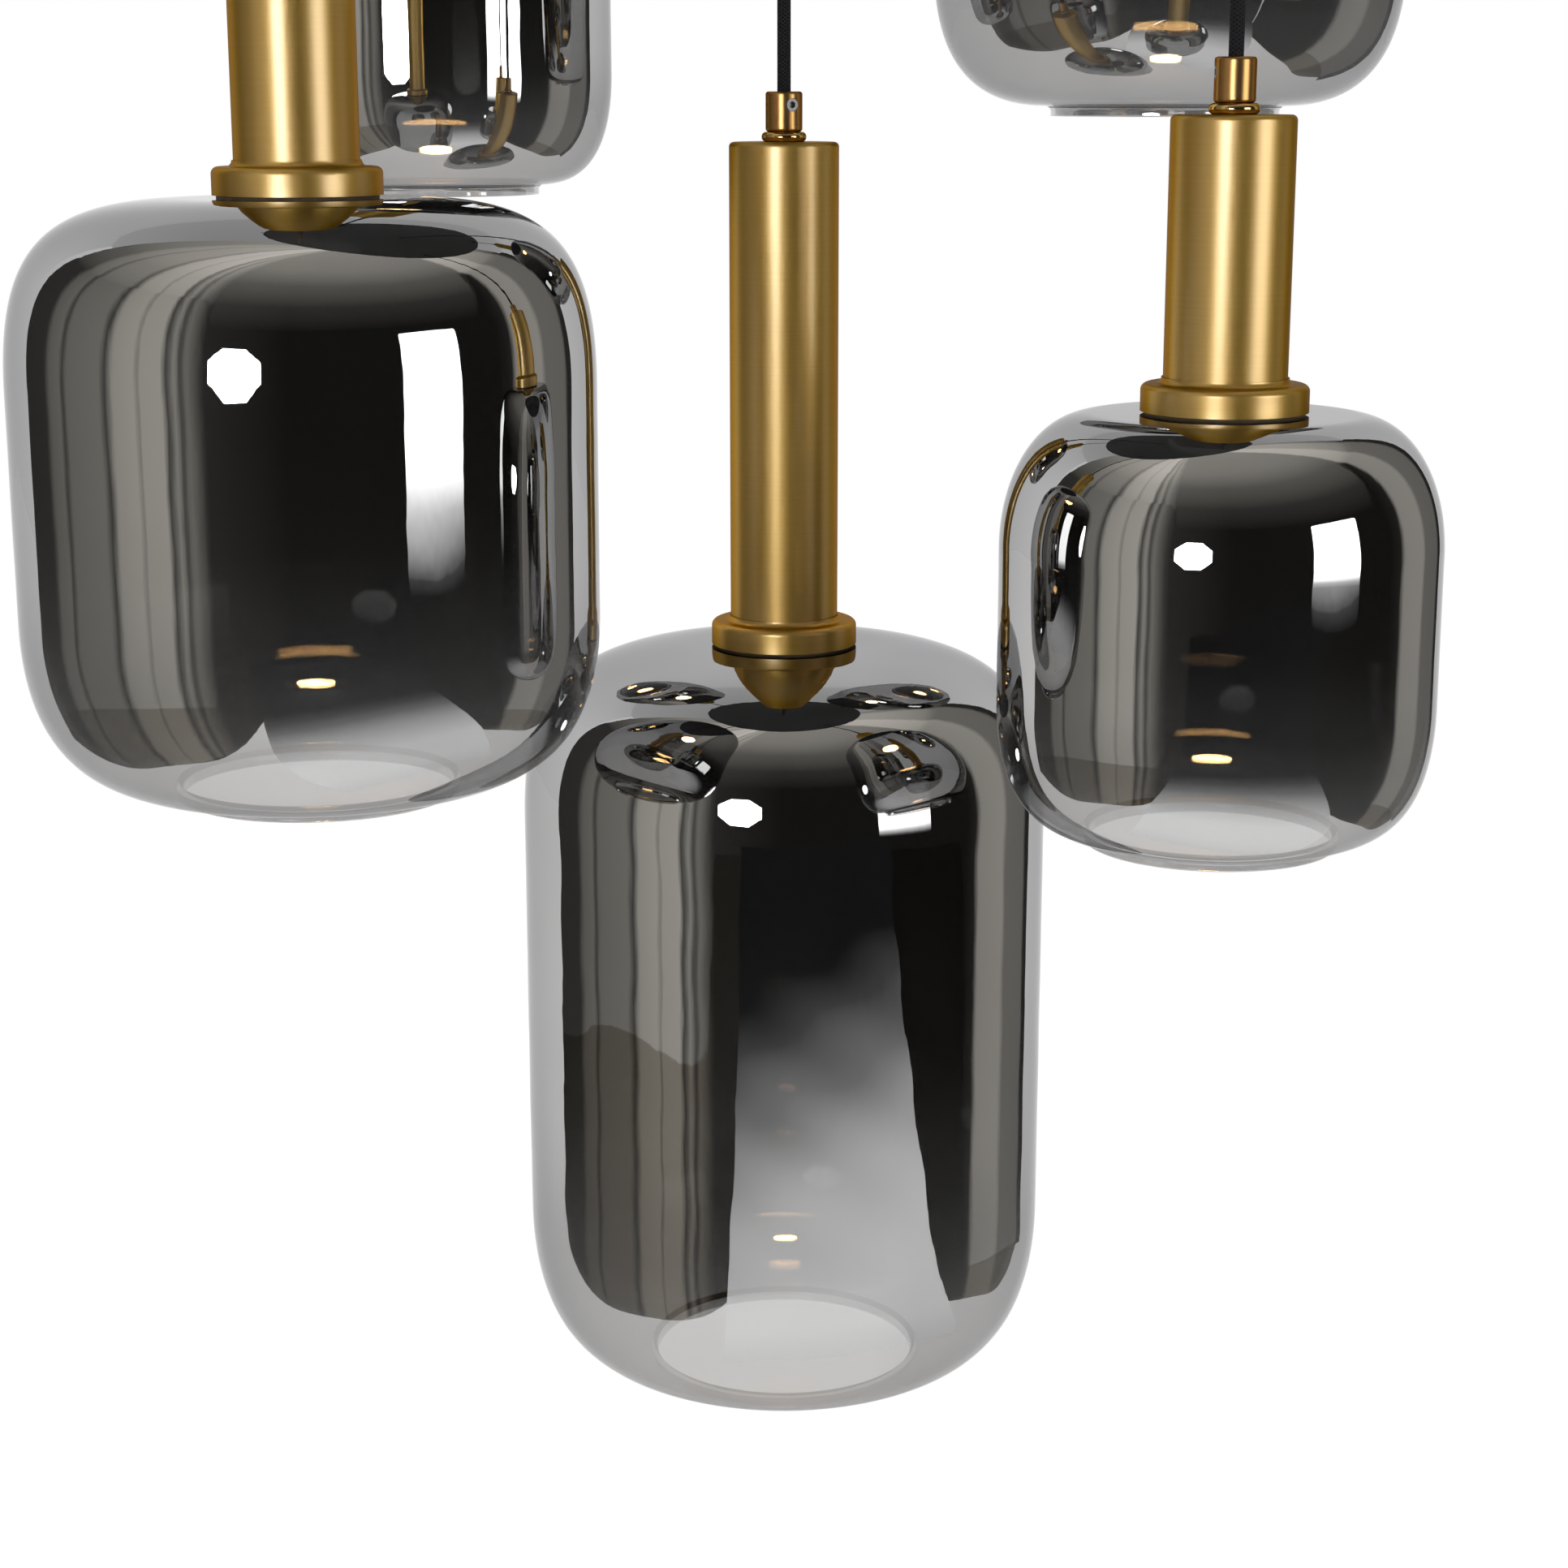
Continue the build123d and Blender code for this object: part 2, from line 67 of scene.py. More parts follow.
# Glass walls, in metres: each form's crown, shoulder, base and lip, as the solids have them
GLASS_WALL = 0.0022
HOLE_RADIUS = 0.0205
LIP_HEIGHT = 0.0045
LIP_ROOT_RADIUS = 0.0025
WIDE = {
    "crown": 0.040, "shoulder": 0.067, "full": 0.75,
    "base": 0.063, "base_full": 0.66, "lip": 0.052, "wave": 0.4,
}
TALL = {
    "crown": 0.036, "shoulder": 0.070, "full": 0.72,
    "base": 0.070, "base_full": 0.66, "lip": 0.0585, "wave": 1.0,
}
SMALL = {
    "crown": 0.048, "shoulder": 0.050, "full": 0.57,
    "base": 0.050, "base_full": 0.65, "lip": 0.047, "wave": 0.4,
}
FORMS = {"left_front": WIDE, "left_back": SMALL, "centre": TALL, "right_back": WIDE, "right_front": SMALL}

# Faces round a shade, and along each stretch of its line
SHADE_SEGMENTS = 160
CROWN_STEPS = 5
CURVE_STEPS = 44
WALL_STEPS = 40
ROOT_STEPS = 8
LIP_STEPS = 3

# Materials of a shade's faces: the lip's glass reaches so many faces to each side of the mouth's edge. The
# last of them on the inside are dark, and so is the next one on the outside: painted shade, black faces
# that draw the dark ring round the mouth
WALL_MATERIALS = ("mirror", "inside", "lip", "lip_painted_shade")
LIP_REACH = 8
PAINTED_SHADE_ROWS = 3

# Unevenness of blown glass, which starts over a short way outside the crown: share of the radius, waves round
# the shade, radians per metre of height and factor of the shade's own phase
RIPPLE_START = 0.03
SLOW_WAVES = ((0.0010, 2, 9, 1.0), (0.0006, 3, -21, 2.3))
QUICK_WAVES = ((0.00022, 12, 150, 1.7), (0.000176, -9, 105, 0.6))

# Lit lens in the lamp's face
LENS_RADIUS = 0.0155
LENS_RECESS = 0.0007
LENS_RISE = 0.0004
LENS_RINGS = 5
LENS_SIDES = 48

# Depth of the fine relief on metal, plastic and rubber, and of the braid and the streaks in the mirror
RELIEF = 0.0002
BRAID_RELIEF = 0.0003
STREAK_RELIEF = 0.0004

# Stage, in metres and degrees: azimuth 0 is towards the camera, positive to the right
FLOOR_Z = -1.6
FLOOR_HALF = 6.0
FLOOR_GLOW = 0.62
ROOM_LEFT = -113
ROOM_RIGHT = 132
ROOM_REACH = 4.4
ROOM_COLUMNS = 122
WARM = (1.0, 0.95, 0.86)
BROWN = (1.0, 0.9, 0.74)
WHITE = (1, 1, 1)
WORLD_LIGHT = (0.45, 0.45, 0.46, 1)
WORLD_SEEN = (1, 1, 1, 1)
# The room's wall and ceiling, and the paper that comes over from behind to the canopy: distance, height and a
# shift towards the camera
OVERHEAD = ((0.7, 0.7, 0.15), (0.05, 0.35, 0.18))
ROOM_LINE = (
    (ROOM_REACH, FLOOR_Z, 0), (ROOM_REACH, 0.9, 0), (2.6, 1.0, 0.05), (1.4, 0.9, 0.1), *OVERHEAD,
)
PAPER_LINE = ((3.0, -0.15, 0), (3.0, 0.9, 0), (1.6, 0.9, 0.1), *OVERHEAD)
PAPER_COLUMNS = 40
# Distance of the room's walls, by azimuth
ROOM_WALLS = (
    (ROOM_LEFT, 2.4), (-31, 2.4), (-29, ROOM_REACH), (80, ROOM_REACH), (86, 1.6), (ROOM_RIGHT, 1.6),
)
# Strengths round the room, by azimuth: panels on the left, dark behind the camera, a pale panel on the right
ROOM_STRENGTHS = (
    (ROOM_LEFT, 0.05), (-99, 0.05), (-96, 0.2), (-90, 0.24), (-88, 0.08), (-86, 0.24), (-70, 0.28),
    (-67, 0.08), (-64, 0.5), (-55, 0.58), (-54, 0.3), (-53, 0.56), (-45, 0.6), (-43, 0.07), (-40, 0.45),
    (-38, 0.07), (-36, 0.3), (-30, 0.04), (0, 0.012), (84, 0.012), (88, 0.03), (91, 0.45), (107, 0.5),
    (110, 0.26), (126, 0.26), (128, 0.04), (ROOM_RIGHT, 0.04),
)
# Strengths along the two lines, from their first point to overhead
ROOM_OVERHEAD = ((0.2, 0.0), (0.4, 0.04), (0.6, 0.16), (0.8, 0.36), (1.0, 0.44))
PAPER_STRENGTHS = ((0.0, 1.0), (0.25, 0.74), (0.5, 0.6), (0.75, 0.48), (1.0, 0.4))
# The room's bare floor beside the paper: the azimuth and distance where it comes nearest, and how its edge
# curls away from there to the left and to the right (half width and power)
ROOM_FLOORS = {
    "room_floor_left": (-65, 1.03, (48, 4), (48, 4)),
    "room_floor_right": (98, 1.13, (60, 3), (34, 4)),
}
ROOM_FLOOR_SPAN = 56
ROOM_FLOOR_LIFT = 0.01
ROOM_FLOOR_SHARE = 0.6
FLOOR_CURL = 0.8
# Paper on a low table towards the camera: its height, then distances and the azimuths of its two sides. Its
# rows run from nearer on the left to further on the right, by these factors of the distance
RUNWAY_Z = -1.15
RUNWAY = (
    (3.2, -18, 44), (1.29, -18.5, 46), (0.98, -20, 52), (0.77, -22, 58), (0.57, -23, 66), (0.26, -26, 84),
)
RUNWAY_COLUMNS = 12
RUNWAY_NEAR = 0.92
RUNWAY_SKEW = 0.18
RUNWAY_STRENGTHS = (
    (0.0, 0.012), (0.2, 0.012), (0.3, 0.09), (0.4, 0.3), (0.6, 0.9), (0.8, 1.4), (0.92, 1.4), (1.0, 1.2),
)
# Softboxes: azimuth, distance, bottom, top, width, share cut off at the corners, and strengths going up
SOFTBOXES = {
    "softbox_round": (-18.5, 3.7, -0.75, 0.14, 1.2, 0.29, ((0.0, 16.0), (1.0, 16.0))),
    "softbox_wide": (
        52, 2.3, -1.0, 0.1, 1.0, 0.02, ((0.0, 0.02), (0.333, 0.1), (0.352, 1.2), (0.382, 4.6), (1.0, 5.0)),
    ),
}
# Soft lamps: azimuth, distance, height, size and watts
LAMPS = {
    "lamp_left": (-18.5, 3.7, 0.2, 1.3, 50),
    "lamp_right": (53, 2.3, 0.1, 1.1, 12),
}
LAMP_AIM = Vector((0, 0, -0.5))


def node_centre(node):
    low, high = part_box(node)
    return Vector([(a + b) / 2 for a, b in zip(low, high)])


def new_object(name, data):
    thing = bpy.data.objects.new(name, data)
    scene.collection.objects.link(thing)
    return thing


def new_mesh(name, vertices, faces, *materials):
    mesh = bpy.data.meshes.new(name)
    mesh.from_pydata(vertices, [], faces)
    for material in materials:
        mesh.materials.append(material)
    return mesh


# Camera
def make_camera():
    data = bpy.data.cameras.new("camera")
    data.sensor_fit = "HORIZONTAL"
    data.sensor_width = SENSOR_WIDTH
    data.lens = CAMERA_LENS
    camera = new_object("camera", data)
    camera.location = CAMERA_PLACE
    camera.rotation_euler = (math.radians(90 - CAMERA_PITCH_DOWN), 0, 0)
    scene.camera = camera


# Material helpers
class Shader:
    """A node material with short calls to add and join its nodes."""

    def __init__(self, name):
        self.material = bpy.data.materials.new(name)
        self.material.use_nodes = True
        self.tree = self.material.node_tree
        self.surface = self.tree.nodes["Principled BSDF"]

    def add(self, kind, **settings):
        node = self.tree.nodes.new(kind)
        for key, value in settings.items():
            setattr(node, key, value)
        return node

    def join(self, source, target):
        self.tree.links.new(source, target)

    def put(self, **values):
        """Sets the surface's own sockets: an underscore in a key stands for a space."""
        for key, value in values.items():
            self.surface.inputs[key.replace("_", " ")].default_value = value

    def drive(self, socket, source):
        """Joins a value to one of the surface's sockets."""
        self.join(source, self.surface.inputs[socket])

    def place(self, scale=(1, 1, 1), source="Object"):
        """Coordinates on the object, stretched."""
        coordinates = self.add("ShaderNodeTexCoord")
        mapping = self.add("ShaderNodeMapping")
        mapping.inputs["Scale"].default_value = scale
        self.join(coordinates.outputs[source], mapping.inputs["Vector"])
        return mapping.outputs["Vector"]

    def noise(self, vector, scale, detail=2.0, roughness=0.55):
        noise = self.add("ShaderNodeTexNoise")
        noise.inputs["Scale"].default_value = scale
        noise.inputs["Detail"].default_value = detail
        noise.inputs["Roughness"].default_value = roughness
        self.join(vector, noise.inputs["Vector"])
        return noise.outputs["Fac"]

    def ramp(self, value, stops):
        """stops: (position, colour) pairs, a colour being one grey number or three."""
        ramp = self.add("ShaderNodeValToRGB")
        elements = ramp.color_ramp.elements
        while len(elements) < len(stops):
            elements.new(1.0)
        for element, (position, colour) in zip(elements, stops):
            element.position = position
            grey = isinstance(colour, (int, float))
            element.color = (colour, colour, colour, 1) if grey else (*colour, 1)
        self.join(value, ramp.inputs["Fac"])
        return ramp.outputs["Color"]

    def math(self, operation, first, second=0.0):
        node = self.add("ShaderNodeMath", operation=operation)
        for socket, value in zip(node.inputs, (first, second)):
            if isinstance(value, (int, float)):
                socket.default_value = value
            else:
                self.join(value, socket)
        return node.outputs["Value"]

    def bump(self, height, strength, distance):
        bump = self.add("ShaderNodeBump")
        bump.inputs["Strength"].default_value = strength
        bump.inputs["Distance"].default_value = distance
        self.join(height, bump.inputs["Height"])
        self.drive("Normal", bump.outputs["Normal"])


# Materials
def brass(name, dark, light, roughness, line_scale, bump, coat):
    """Brass with turning lines round the axis, and a thin clear coat whose weight is cut where the surface
    turns away from the view: painted shade on the edges.
    """
    shader = Shader(name)
    # Dark edge tint: painted shade on the edges, where the metal turns away from the view
    shader.put(Metallic=1.0, Specular_Tint=(0.26, 0.2, 0.14, 1), Anisotropic=0.3, Anisotropic_Rotation=0.25)
    shader.put(Coat_Roughness=0.3, Coat_IOR=2.05)
    # Clear coat cut where the surface turns away from the view: painted shade on the edges
    edge = shader.add("ShaderNodeLayerWeight")
    lacquer_and_edge_shade = shader.ramp(edge.outputs["Facing"], [(0.0, coat), (0.35, 0.7 * coat), (0.6, 0.1 * coat)])
    shader.drive("Coat Weight", lacquer_and_edge_shade)
    lines = shader.noise(shader.place((6, 6, line_scale)), 1.0, detail=4.0, roughness=0.6)
    cloud = shader.noise(shader.place(), 14.0)
    both = shader.math("ADD", shader.math("MULTIPLY", lines, 0.65), shader.math("MULTIPLY", cloud, 0.35))
    shader.drive("Base Color", shader.ramp(both, [(0.3, dark), (0.7, light)]))
    low, high = roughness
    shader.drive("Roughness", shader.ramp(lines, [(0.25, low), (0.75, high)]))
    shader.bump(lines, bump, RELIEF)
    return shader.material


def smoked_mirror():
    """Outside of the shades: a dark mirror that lets a little more light through towards the mouth."""
    shader = Shader("smoked_mirror")
    shader.put(Metallic=1.0, Roughness=0.015, Specular_Tint=(0.62, 0.62, 0.63, 1))
    height = shader.add("ShaderNodeSeparateXYZ")
    shader.join(shader.place(source="Generated"), height.inputs["Vector"])
    cloud = shader.noise(shader.place((1, 1, 0.4)), 9.0)
    coating = shader.ramp(height.outputs["Z"], [(0.0, 0.82), (0.25, 0.86), (0.4, 1.0)])
    tint = shader.math("MULTIPLY", shader.ramp(cloud, [(0.3, 0.42), (0.7, 0.50)]), coating)
    shader.drive("Base Color", tint)
    cover = shader.ramp(height.outputs["Z"], [(0.0, 0.68), (0.2, 0.72), (0.34, 0.89), (0.55, 0.955)])
    shader.drive("Alpha", cover)
    streaks = shader.noise(shader.place((1, 1, 0.2)), 150.0)
    shader.bump(streaks, 0.06, STREAK_RELIEF)
    return shader.material


def smoked_clear(name, dark, light, roughness, scale, cover):
    """The same smoke with a weaker mirror, through which more light passes."""
    shader = Shader(name)
    shader.put(Metallic=1.0, Roughness=roughness, Alpha=cover)
    cloud = shader.noise(shader.place(), scale)
    shader.drive("Base Color", shader.ramp(cloud, [(0.3, dark), (0.7, light)]))
    return shader.material


def textile():
    """Black braid: two crossing sets of strands, worked out from the angle round the cord and the height."""
    shader = Shader("cord_textile")
    axis = shader.add("ShaderNodeSeparateXYZ")
    shader.join(shader.place(), axis.inputs["Vector"])
    angle = shader.math("ARCTAN2", axis.outputs["Y"], axis.outputs["X"])
    turn = shader.math("MULTIPLY", angle, BRAID_STRANDS)
    rise = shader.math("MULTIPLY", axis.outputs["Z"], BRAID_RISE)
    left = shader.math("SINE", shader.math("ADD", turn, rise))
    right = shader.math("SINE", shader.math("SUBTRACT", turn, rise))
    strands = shader.math("MAXIMUM", left, right)
    fuzz = shader.noise(shader.place(), FUZZ_SCALE)
    height = shader.math("ADD", strands, shader.math("MULTIPLY", fuzz, FUZZ_SHARE))
    colour = shader.ramp(height, [(0.0, (0.002, 0.002, 0.002)), (1.0, (0.014, 0.014, 0.016))])
    shader.drive("Base Color", colour)
    shader.put(Roughness=0.85, Specular_IOR_Level=0.2)
    shader.bump(height, 0.6, BRAID_RELIEF)
    return shader.material


def plain(name, dark, light, roughness, scale, bump, metallic=0.0):
    """A fine speckle of two close colours, with roughness and bump that follow it."""
    shader = Shader(name)
    shader.put(Metallic=metallic)
    speckle = shader.noise(shader.place(), scale, detail=4.0)
    shader.drive("Base Color", shader.ramp(speckle, [(0.3, dark), (0.7, light)]))
    low, high = roughness
    shader.drive("Roughness", shader.ramp(speckle, [(0.3, low), (0.7, high)]))
    shader.bump(speckle, bump, RELIEF)
    return shader.material


def lamp_light():
    """Warm lit lens with small facets."""
    shader = Shader("lamp_light")
    cells = shader.add("ShaderNodeTexVoronoi")
    cells.inputs["Scale"].default_value = 420.0
    shader.join(shader.place(), cells.inputs["Vector"])
    glow = shader.ramp(cells.outputs["Distance"], [(0.0, (1.0, 0.68, 0.30)), (0.8, (1.0, 0.52, 0.16))])
    shader.drive("Emission Color", glow)
    shader.put(Base_Color=(0.9, 0.8, 0.6, 1), Roughness=0.2, Emission_Strength=220.0)
    return shader.material


MATERIALS = {
    "brass": brass(
        "brass_brushed", dark=(0.49, 0.285, 0.020), light=(0.57, 0.34, 0.032), roughness=(0.41, 0.49),
        line_scale=900, bump=0.3, coat=1.0,
    ),
    "brass_satin": brass(
        "brass_satin", dark=(0.37, 0.185, 0.035), light=(0.43, 0.22, 0.047), roughness=(0.28, 0.34),
        line_scale=1400, bump=0.05, coat=0.4,
    ),
    "brass_polished": brass(
        "brass_polished", dark=(0.62, 0.40, 0.13), light=(0.70, 0.46, 0.16), roughness=(0.08, 0.12),
        line_scale=700, bump=0.05, coat=0.3,
    ),
    "steel": plain("zinc_steel", 0.5, 0.62, roughness=(0.28, 0.4), scale=900, bump=0.15, metallic=1.0),
    # The set screw's steel is near black: painted shade standing for the dark hollow of its hex socket
    "screw_steel_painted_dark": plain("screw_steel_painted_dark", 0.1, 0.15, roughness=(0.28, 0.36), scale=900, bump=0.1, metallic=1.0),
    "black": plain("black_powder", 0.012, 0.022, roughness=(0.5, 0.65), scale=1500, bump=0.3),
    "gasket": plain(
        "gasket_rubber", (0.05, 0.033, 0.016), (0.075, 0.05, 0.024), roughness=(0.6, 0.75),
        scale=1200, bump=0.2,
    ),
    "ceramic": plain(
        "ceramic", (0.72, 0.70, 0.64), (0.8, 0.78, 0.72), roughness=(0.25, 0.35), scale=300, bump=0.1,
    ),
    "lamp": plain(
        "lamp_housing", (0.62, 0.61, 0.58), (0.7, 0.69, 0.66), roughness=(0.25, 0.35), scale=250, bump=0.1,
    ),
    "wiring": plain("wire_sheath", 0.02, 0.035, roughness=(0.45, 0.6), scale=700, bump=0.2),
    "textile": textile(),
    "mirror": smoked_mirror(),
    "inside": smoked_clear("smoked_inside", 0.3, 0.36, roughness=0.02, scale=9.0, cover=0.4),
    "lip": smoked_clear("smoked_lip", 0.26, 0.32, roughness=0.03, scale=30.0, cover=0.45),
    # Black faces at the mouth's edge: painted shade for the dark ring round the glass lip
    "lip_painted_shade": plain("lip_painted_shade", 0.006, 0.012, roughness=(0.4, 0.5), scale=300, bump=0.05),
    "light": lamp_light(),
}
DROP_MATERIALS = {
    "cord_grip": "brass_satin",
    "grip_screw": "screw_steel_painted_dark",
    "grip_bead": "brass_polished",
    "tube": "brass",
    "collar": "brass",
    "shade_gasket": "gasket",
    "shade_ring": "brass",
    "lamp_holder": "ceramic",
    "lamp": "lamp",
}
CANOPY_MATERIALS = {
    "canopy_cover": "black",
    "canopy_cord_grips": "black",
    "canopy_fasteners": "black",
    "ceiling_bracket": "steel",
    "canopy_wiring": "wiring",
}


def dress(node, material):
    mesh = nodes[node].data
    mesh.materials.clear()
    mesh.materials.append(MATERIALS[material])


# Cords
def make_cord(drop):
    """Straight cord from its outlet's mouth into the brass grip, on an object placed at its exit."""
    joint = next(j for j in frame["joints"] if j["name"] == f"cord_{drop}_swing")
    exit_place = Vector(joint["pos_m"])
    grip_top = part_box(f"cord_grip_{drop}")[1][2]
    length = exit_place.z - grip_top + CORD_IN_GRIP
    curve = bpy.data.curves.new(f"cord_braid_{drop}", "CURVE")
    curve.dimensions = "3D"
    curve.bevel_depth = CORD_DIAMETER / 2
    curve.bevel_resolution = 7
    curve.use_fill_caps = True
    spline = curve.splines.new("NURBS")
    spline.points.add(2)
    for point, share in zip(spline.points, (0.0, 0.5, 1.0)):
        point.co = (0, 0, -length * share, 1)
    spline.order_u = 3
    spline.use_endpoint_u = True
    curve.materials.append(MATERIALS["textile"])
    cord = new_object(f"cord_braid_{drop}", curve)
    cord.location = exit_place
    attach(cord, f"cord_{drop}")
    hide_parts(f"cord_{drop}")


# Glass shades
def straight(start, end, count):
    """Points of a straight stretch after its start."""
    (r, z), (end_r, end_z) = start, end
    return [Vector((r + (end_r - r) * i / count, z + (end_z - z) * i / count)) for i in range(1, count + 1)]


def bezier(start, start_pull, end_pull, end, count):
    """Points of a cubic curve after its start."""
    a, b, c, d = (Vector(point) for point in (start, start_pull, end_pull, end))
    points = []
    for step in range(1, count + 1):
        t = step / count
        s = 1 - t
        points.append(a * s**3 + b * 3 * s * s * t + c * 3 * s * t * t + d * t**3)
    return points


def shade_line(form, radius, height, inset):
    """Line of a shade's wall from its hole to its mouth: (radius, height below the top) points."""
    radius -= inset
    crown, shoulder, base_full = form["crown"], form["shoulder"], form["base_full"]
    lip = form["lip"] - inset
    neck = LIP_HEIGHT - height
    base = neck + form["base"]
    root_r, root_z = form["lip"] + LIP_ROOT_RADIUS, neck - LIP_ROOT_RADIUS
    bend = LIP_ROOT_RADIUS + inset
    line = [Vector((HOLE_RADIUS, -inset))]
    line += straight((HOLE_RADIUS, -inset), (crown, -inset), CROWN_STEPS)
    line += bezier((crown, -inset), (crown + form["full"] * (radius - crown), -inset),
                   (radius, -shoulder + form["full"] * (shoulder - inset)), (radius, -shoulder), CURVE_STEPS)
    line += straight((radius, -shoulder), (radius, base), WALL_STEPS)
    line += bezier((radius, base), (radius, base - base_full * (form["base"] - inset)),
                   (root_r + base_full * (radius - root_r), neck + inset),
                   (root_r, neck + inset), CURVE_STEPS)
    for i in range(1, ROOT_STEPS + 1):
        turn = math.pi / 2 * (1 + i / ROOT_STEPS)
        line.append(Vector((root_r + bend * math.cos(turn), root_z + bend * math.sin(turn))))
    line += straight((lip, root_z), (lip, -height), LIP_STEPS)
    return line


def waves(table, turn, z, phase):
    """Sum of a table's waves at one place on the glass."""
    total = 0.0
    for share, times, rise, shift in table:
        total += share * math.sin(times * turn + rise * z + shift * phase)
    return total


def ripple(turn, z, phase, wave):
    """Slight unevenness of blown glass, as a share of the radius."""
    return waves(SLOW_WAVES, turn, z, phase) + wave * waves(QUICK_WAVES, turn, z, phase)


def wall_material(place):
    """Material of a face, by its place before or after the mouth's edge."""
    # The dark faces at the mouth's edge are painted shade, a black line for the ring round the mouth
    if place == -LIP_REACH - 1 or LIP_REACH - PAINTED_SHADE_ROWS <= place < LIP_REACH:
        return "lip_painted_shade"
    if -LIP_REACH <= place < LIP_REACH:
        return "lip"
    return "mirror" if place < 0 else "inside"


def make_shade(index, drop):
    """Revolved double wall: the outside line down, round the lip's edge, and the inside line up again."""
    form = FORMS[drop]
    node = f"glass_shade_{drop}"
    low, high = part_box(node)
    centre = node_centre(node)
    radius, height = (high[0] - low[0]) / 2, high[2] - low[2]
    outside = shade_line(form, radius, height, 0)
    inside = shade_line(form, radius, height, GLASS_WALL)
    loop = outside + inside[::-1]
    count = len(loop)
    vertices, faces, kinds = [], [], []
    for step in range(SHADE_SEGMENTS):
        turn = 2 * math.pi * step / SHADE_SEGMENTS
        for r, z in loop:
            share = min(1.0, max(0.0, (r - form["crown"]) / RIPPLE_START))
            wavy = r * (1 + ripple(turn, z, index + 1.0, form["wave"]) * share)
            vertices.append((wavy * math.cos(turn), wavy * math.sin(turn), z))
    for step in range(SHADE_SEGMENTS):
        here, there = step * count, (step + 1) % SHADE_SEGMENTS * count
        for i in range(count):
            j = (i + 1) % count
            faces.append((here + i, here + j, there + j, there + i))
            kinds.append(WALL_MATERIALS.index(wall_material(i - len(outside))))
    mesh = new_mesh(f"shade_glass_{drop}", vertices, faces, *(MATERIALS[name] for name in WALL_MATERIALS))
    mesh.polygons.foreach_set("material_index", kinds)
    mesh.polygons.foreach_set("use_smooth", [True] * len(faces))
    mesh.update()
    shade = new_object(f"shade_glass_{drop}", mesh)
    shade.location = (centre.x, centre.y, high[2])
    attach(shade, f"pendant_{drop}")
    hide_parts(node)


# Lamps' lenses
def make_lens(drop):
    """Lit lens inside the lamp's rim."""
    low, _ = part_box(f"lamp_{drop}")
    vertices = [(0, 0, -LENS_RISE)]
    for ring in range(1, LENS_RINGS + 1):
        share = ring / LENS_RINGS
        radius = LENS_RADIUS * share
        for side in range(LENS_SIDES):
            turn = 2 * math.pi * side / LENS_SIDES
            vertices.append((radius * math.cos(turn), radius * math.sin(turn), -LENS_RISE * (1 - share**2)))
    faces = [(0, 1 + (side + 1) % LENS_SIDES, 1 + side) for side in range(LENS_SIDES)]
    for ring in range(LENS_RINGS - 1):
        here, there = 1 + ring * LENS_SIDES, 1 + (ring + 1) * LENS_SIDES
        for side in range(LENS_SIDES):
            after = (side + 1) % LENS_SIDES
            faces.append((here + side, here + after, there + after, there + side))
    mesh = new_mesh(f"lamp_lens_{drop}", vertices, faces, MATERIALS["light"])
    mesh.polygons.foreach_set("use_smooth", [True] * len(faces))
    lens = new_object(f"lamp_lens_{drop}", mesh)
    centre = node_centre(f"lamp_{drop}")
    lens.location = (centre.x, centre.y, low[2] + LENS_RECESS)
    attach(lens, f"lamp_{drop}")


# Stage
def light_paths(tree):
    """1 for camera, glossy and transmission rays, 0 for the rest."""
    paths = tree.nodes.new("ShaderNodeLightPath")
    total = paths.outputs["Is Camera Ray"]
    for name in ("Is Glossy Ray", "Is Transmission Ray"):
        either = tree.nodes.new("ShaderNodeMath")
        either.operation = "MAXIMUM"
        tree.links.new(total, either.inputs[0])
        tree.links.new(paths.outputs[name], either.inputs[1])
        total = either.outputs["Value"]
    return total


def make_world():
    """White to the camera and in reflections, and a dimmer light on plain surfaces."""
    world = bpy.data.worlds.new("studio")
    scene.world = world
    world.use_nodes = True
    tree = world.node_tree
    background = tree.nodes["Background"]
    seen = light_paths(tree)
    mix = tree.nodes.new("ShaderNodeMix")
    mix.data_type = "RGBA"
    mix.inputs["A"].default_value = WORLD_LIGHT
    mix.inputs["B"].default_value = WORLD_SEEN
    tree.links.new(seen, mix.inputs["Factor"])
    tree.links.new(mix.outputs["Result"], background.inputs["Color"])
    background.inputs["Strength"].default_value = 1.0


def glow_material(name, colour, ramps):
    """Emission in one colour: its strength is the sum of ramps along the card's own X and Y."""
    material = bpy.data.materials.new(name)
    material.use_nodes = True
    tree = material.node_tree
    tree.nodes.clear()
    emission = tree.nodes.new("ShaderNodeEmission")
    emission.inputs["Color"].default_value = (*colour, 1)
    output = tree.nodes.new("ShaderNodeOutputMaterial")
    tree.links.new(emission.outputs["Emission"], output.inputs["Surface"])
    place = tree.nodes.new("ShaderNodeUVMap")
    split = tree.nodes.new("ShaderNodeSeparateXYZ")
    tree.links.new(place.outputs["UV"], split.inputs["Vector"])
    total = None
    for axis, stops in ramps.items():
        ramp = tree.nodes.new("ShaderNodeValToRGB")
        top = max(strength for _, strength in stops)
        elements = ramp.color_ramp.elements
        while len(elements) < len(stops):
            elements.new(1.0)
        for element, (position, strength) in zip(elements, stops):
            element.position = position
            element.color = (strength / top, strength / top, strength / top, 1)
        scale = tree.nodes.new("ShaderNodeMath")
        scale.operation = "MULTIPLY_ADD"
        scale.inputs[1].default_value = top
        scale.inputs[2].default_value = 0.0
        tree.links.new(split.outputs[axis], ramp.inputs["Fac"])
        tree.links.new(ramp.outputs["Color"], scale.inputs[0])
        if total:
            tree.links.new(total, scale.inputs[2])
        total = scale.outputs["Value"]
    tree.links.new(total, emission.inputs["Strength"])
    return material


